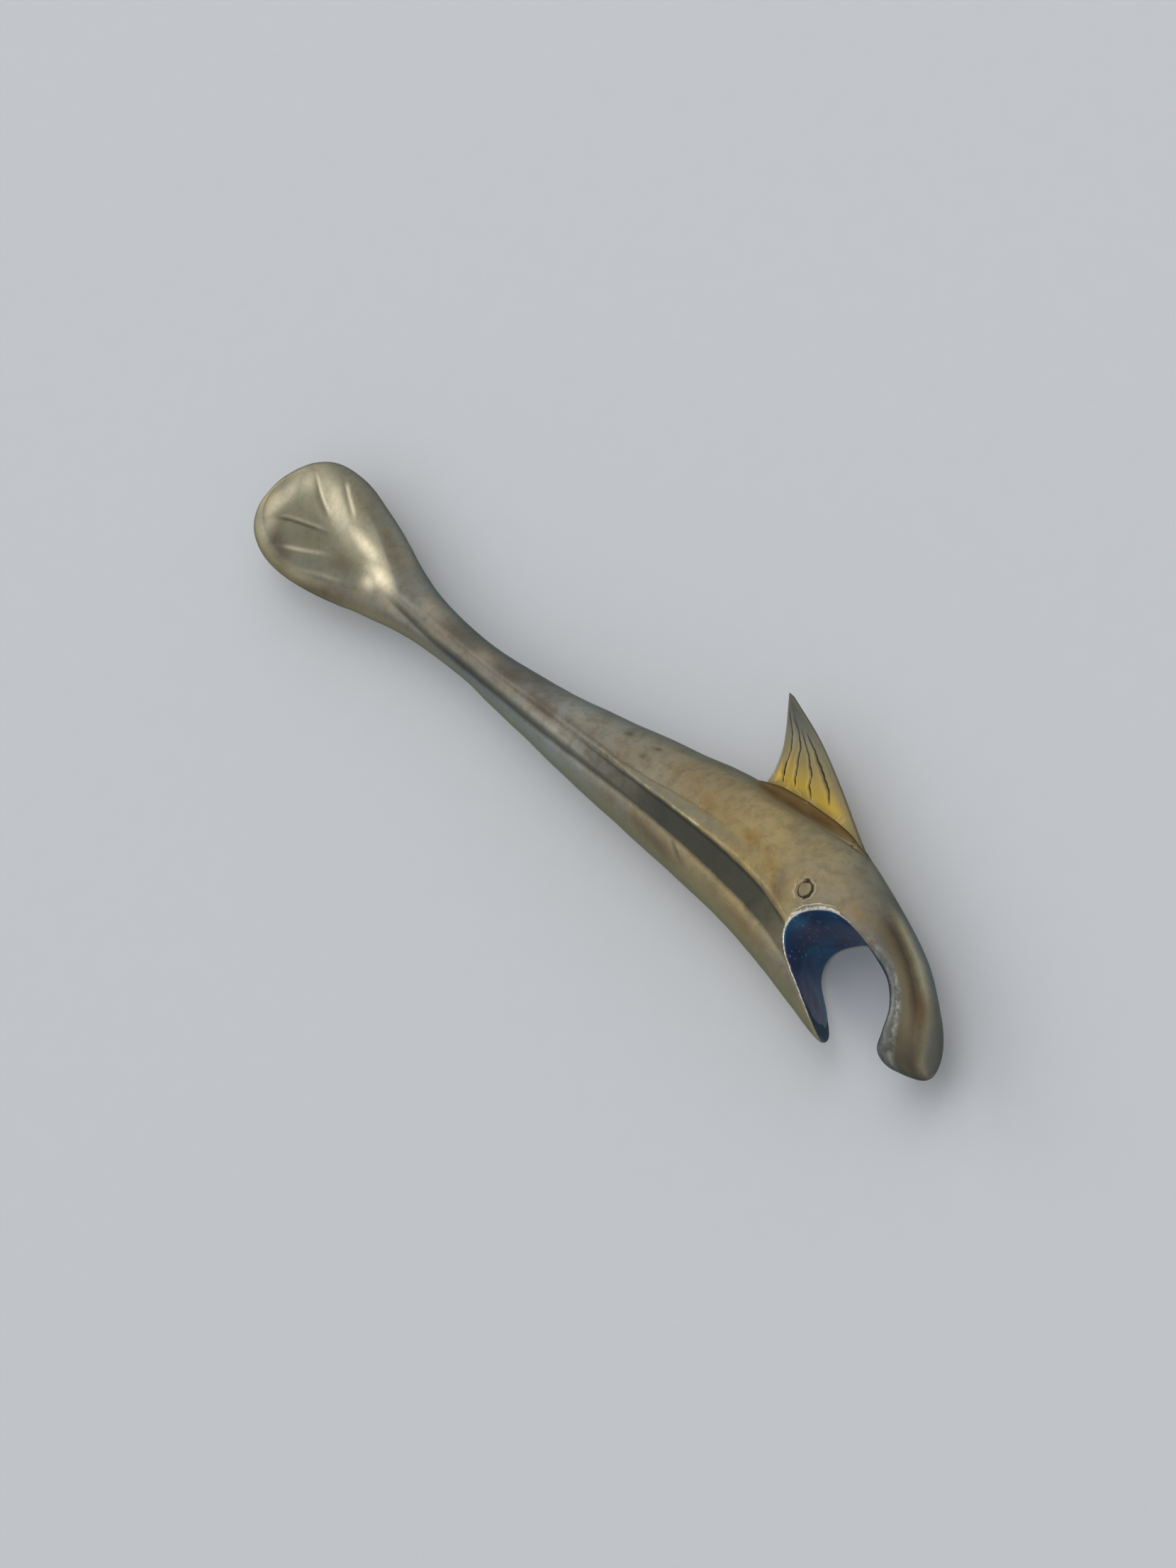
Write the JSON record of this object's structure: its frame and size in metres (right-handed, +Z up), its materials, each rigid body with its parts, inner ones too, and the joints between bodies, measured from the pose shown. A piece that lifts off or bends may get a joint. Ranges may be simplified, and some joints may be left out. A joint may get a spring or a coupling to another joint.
{
  "type": "bottle opener",
  "caption": "Cast brass bottle opener shaped like a shark: an open mouth grips the cap, the back carries a riveted fin, and a slim stem ends in a dished thumb rest.",
  "frame": {"origin": "middle of the underside of the bounding box, with the opener lying on its flank", "axes": "+X along the fish towards its nose, +Y towards its dorsal fin, +Z up, square to the flank"},
  "size_m": [0.1504, 0.0312, 0.0122],
  "materials": {
    "aged_brass": "polished brass with an olive brown patina",
    "fin_brass": "brighter golden brass, engraved",
    "braze_metal": "dull brown braze metal",
    "blue_enamel": "dark navy enamel, finely scratched"
  },
  "bodies": {
    "root": {"body_casting": "aged_brass", "dorsal_fin": "fin_brass", "fin_braze": "braze_metal", "fin_pin_front": "aged_brass", "fin_pin_rear": "aged_brass", "mouth_enamel": "blue_enamel", "eye_stud_near": "aged_brass", "eye_stud_far": "aged_brass"}
  },
  "joints": []
}
